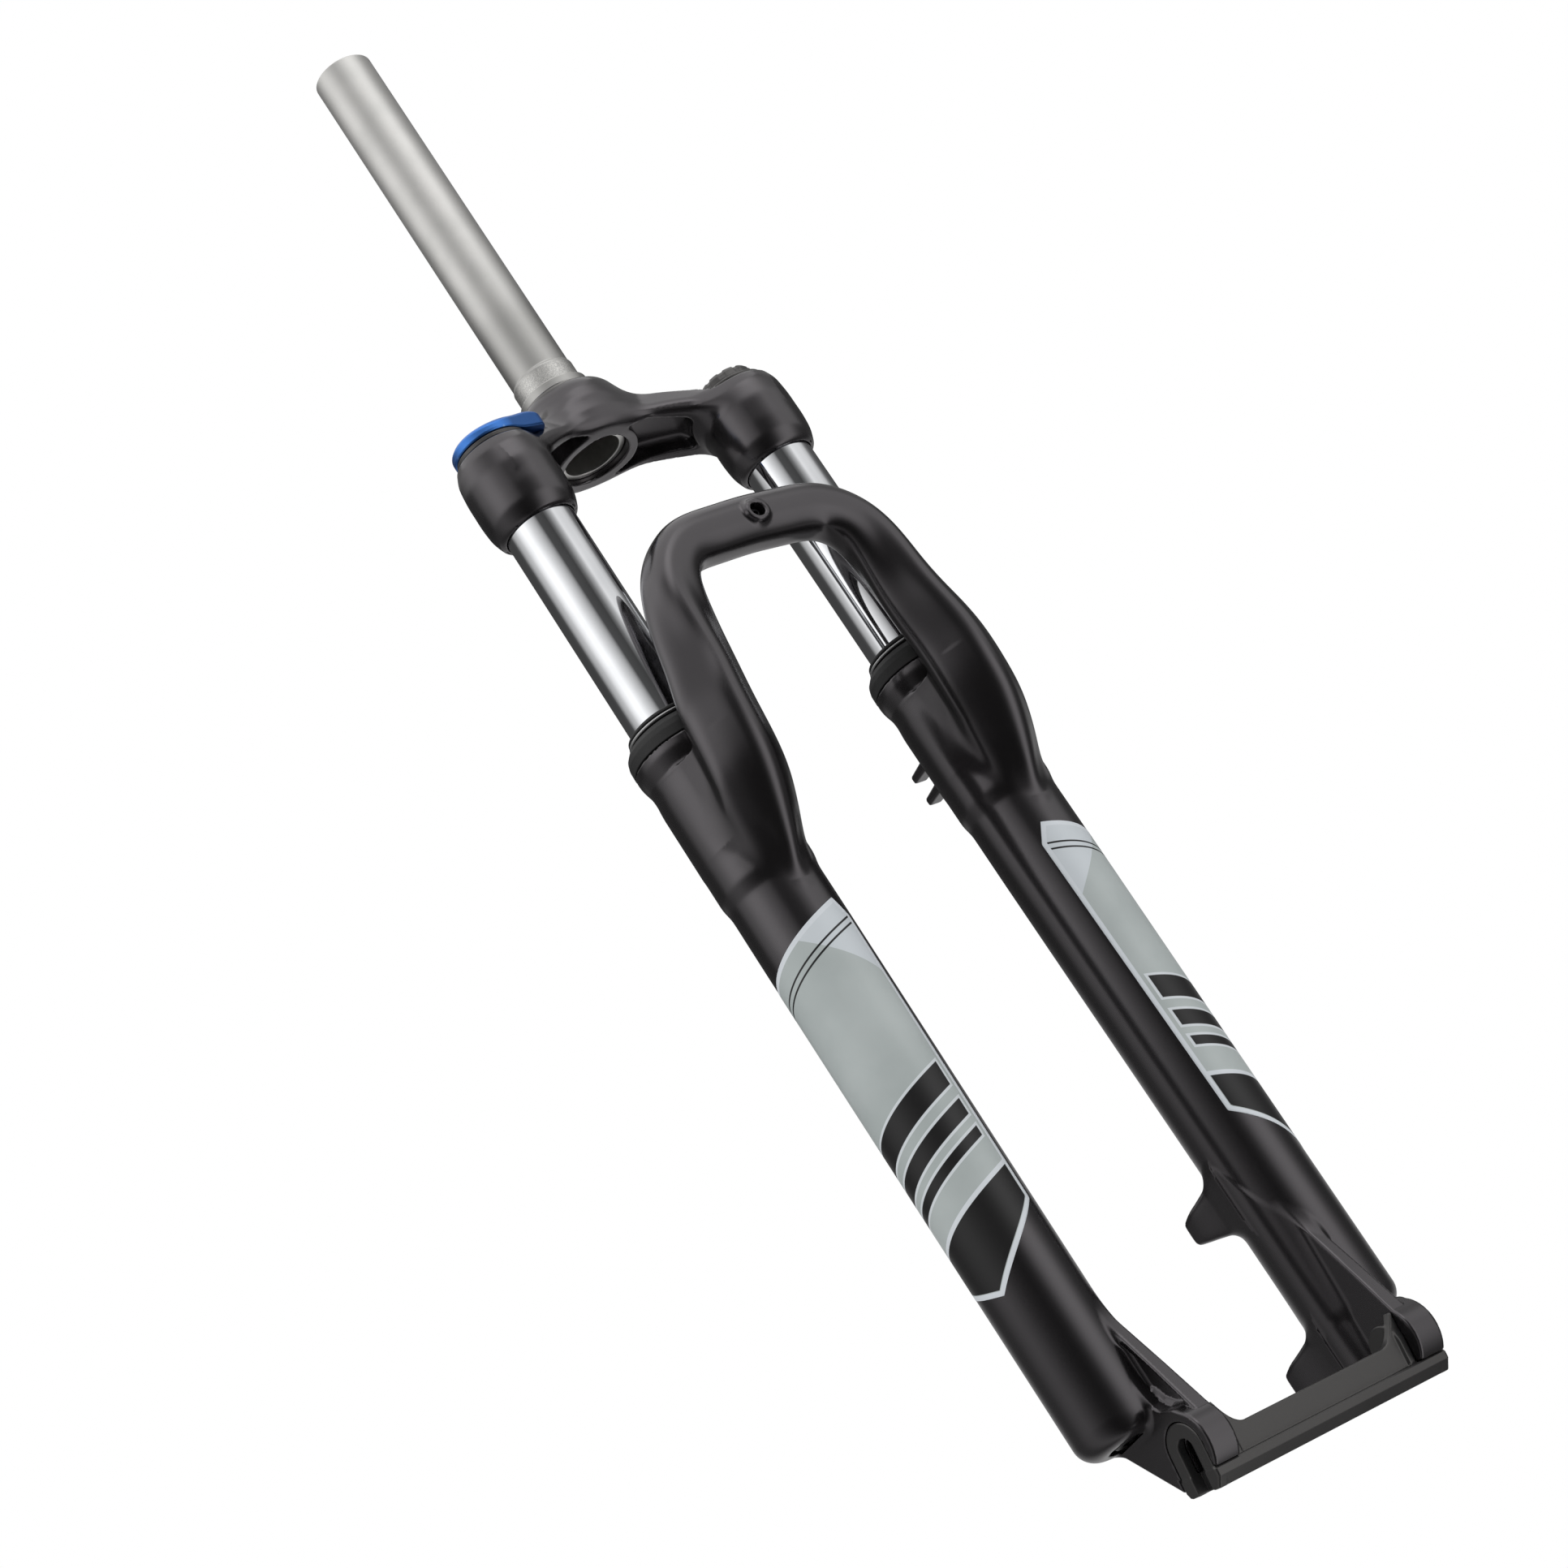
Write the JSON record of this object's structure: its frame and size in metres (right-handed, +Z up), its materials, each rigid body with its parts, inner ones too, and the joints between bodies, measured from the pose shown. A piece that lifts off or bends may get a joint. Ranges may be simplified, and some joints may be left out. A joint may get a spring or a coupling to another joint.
{
  "type": "bicycle suspension fork",
  "caption": "Telescopic bicycle suspension fork: steerer and crown on chromed stanchions, a one-piece black lower casting with arch, disc posts and dropouts, lockout lever, preload knob.",
  "frame": {"origin": "on the steering axis at the crown race seat", "axes": "+Z up the steerer, -Y forwards, +X to the rider's left (disc brake side)"},
  "size_m": [0.1774, 0.1008, 0.7704],
  "materials": {
    "black_paint": "satin black paint over cast metal",
    "blasted_steel": "blasted bare steel",
    "chrome": "polished hard chrome",
    "blue_anodised": "satin blue anodising",
    "black_plastic": "moulded black plastic",
    "rubber": "moulded seal rubber",
    "steel": "plated steel",
    "aluminium": "turned bare aluminium",
    "bushing_bronze": "sintered bushing bronze",
    "white_plastic": "moulded white plastic",
    "elastomer": "moulded elastomer"
  },
  "bodies": {
    "chassis": {"steerer_tube": "blasted_steel", "crown": "black_paint", "stanchion_right": "chrome", "stanchion_left": "chrome", "damper_top_cap": "black_plastic", "damper_cartridge": "aluminium", "damper_rod_guide": "aluminium", "spring_top_cap": "black_plastic", "main_spring": "steel", "spring_guide_plug": "black_plastic", "topout_bumper": "elastomer"},
    "lowers": {"lower_casting": "black_paint", "bushing_upper_right": "bushing_bronze", "bushing_upper_left": "bushing_bronze", "bushing_lower_right": "bushing_bronze", "bushing_lower_left": "bushing_bronze", "wiper_seal_right": "rubber", "wiper_seal_left": "rubber", "garter_spring_right": "steel", "garter_spring_left": "steel", "damper_rod": "steel", "damper_piston": "aluminium", "compression_rod": "aluminium", "spring_seat": "black_plastic", "foot_bolt_right": "steel", "foot_bolt_left": "steel", "foot_washer_right": "aluminium", "foot_washer_left": "aluminium"},
    "lockout": {"lockout_lever": "blue_anodised", "lever_screw": "steel", "lockout_control_rod": "aluminium"},
    "preload": {"preload_knob": "black_plastic", "preload_screw": "steel"},
    "plunger": {"preload_plunger": "white_plastic"},
    "spacer": {"transport_spacer": "black_plastic"}
  },
  "joints": [
    {"name": "fork_travel", "type": "slide", "parent": "chassis", "child": "lowers", "axis": [0, 0, 1], "range_m": [0, 0.1], "stiffness_N_per_m": 8000, "deforming": ["main_spring"]},
    {"name": "lockout_turn", "type": "hinge", "parent": "chassis", "child": "lockout", "pos_m": [-0.065, -0.026, 0], "axis": [0, 0, 1], "range_deg": [0, 90]},
    {"name": "preload_turn", "type": "hinge", "parent": "chassis", "child": "preload", "pos_m": [0.065, -0.026, 0], "axis": [0, 0, -1], "range_deg": [0, 720]},
    {"name": "preload_slide", "type": "slide", "parent": "chassis", "child": "plunger", "axis": [0, 0, -1], "range_m": [0, 0.005], "deforming": ["main_spring"]},
    {"name": "spacer_slide", "type": "slide", "parent": "lowers", "child": "spacer", "axis": [0, 0.2079, -0.9781], "range_m": [0, 0.06]}
  ],
  "couplings": [
    {"joint": "preload_slide", "follows": "preload_turn", "m_per_rad": 0.000397}
  ]
}
